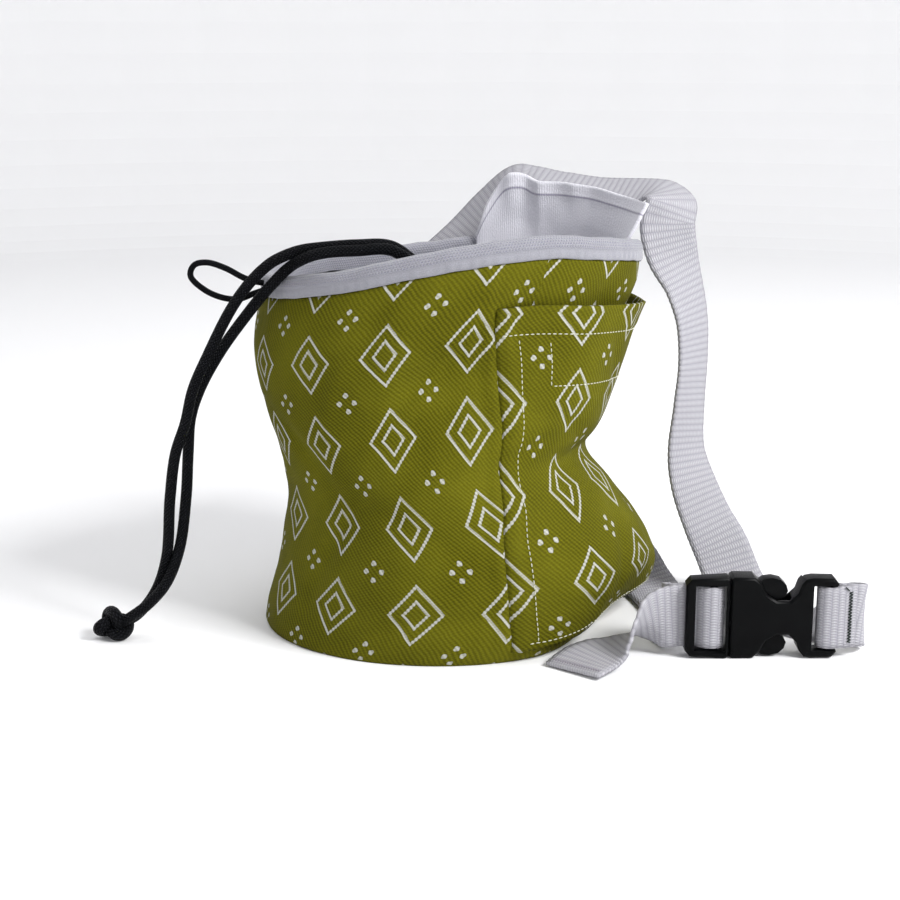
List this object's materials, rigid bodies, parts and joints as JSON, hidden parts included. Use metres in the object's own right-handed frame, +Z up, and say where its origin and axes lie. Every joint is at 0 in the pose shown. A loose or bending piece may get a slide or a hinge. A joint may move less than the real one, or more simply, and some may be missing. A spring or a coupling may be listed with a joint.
{
  "type": "climbing chalk bag",
  "caption": "Soft cup-shaped climbing chalk bag with fleece rim, drawcord with knotted end, side pocket and webbing waist belt closed by a side-release buckle.",
  "frame": {"origin": "point on the bag's flat base near the middle of its footprint, on the surface it stands on", "axes": "+Z up out of the bag's mouth, +X along the bag toward the buckle, -Y toward the side that carries the buckle's face"},
  "size_m": [0.307, 0.1799, 0.1803],
  "materials": {
    "print_twill": null,
    "fleece": "brushed pale fleece",
    "fleece_rib": "pale lavender-grey fleece band, fine rib",
    "soft_collar": "pale lavender-grey soft cloth",
    "webbing": "off-white ribbed polyester webbing",
    "cord": "black braided cord",
    "thin_cord": "thin black braided cord",
    "buckle_plastic": "black moulded acetal, satin"
  },
  "bodies": {
    "root": {"bag_shell": "print_twill", "fleece_lining": "fleece", "rim_band": "fleece_rib", "pocket_panel": "print_twill", "closure_collar": "soft_collar", "belt_strap": "webbing", "belt_top": "webbing", "belt_back": "webbing", "belt_tail": "webbing", "belt_loop": "webbing", "drawcord_strand_a": "cord", "drawcord_strand_b": "cord", "drawcord_knot": "cord", "rim_cord_loop": "thin_cord", "buckle_female": "buckle_plastic", "buckle_male": "buckle_plastic"}
  },
  "joints": []
}
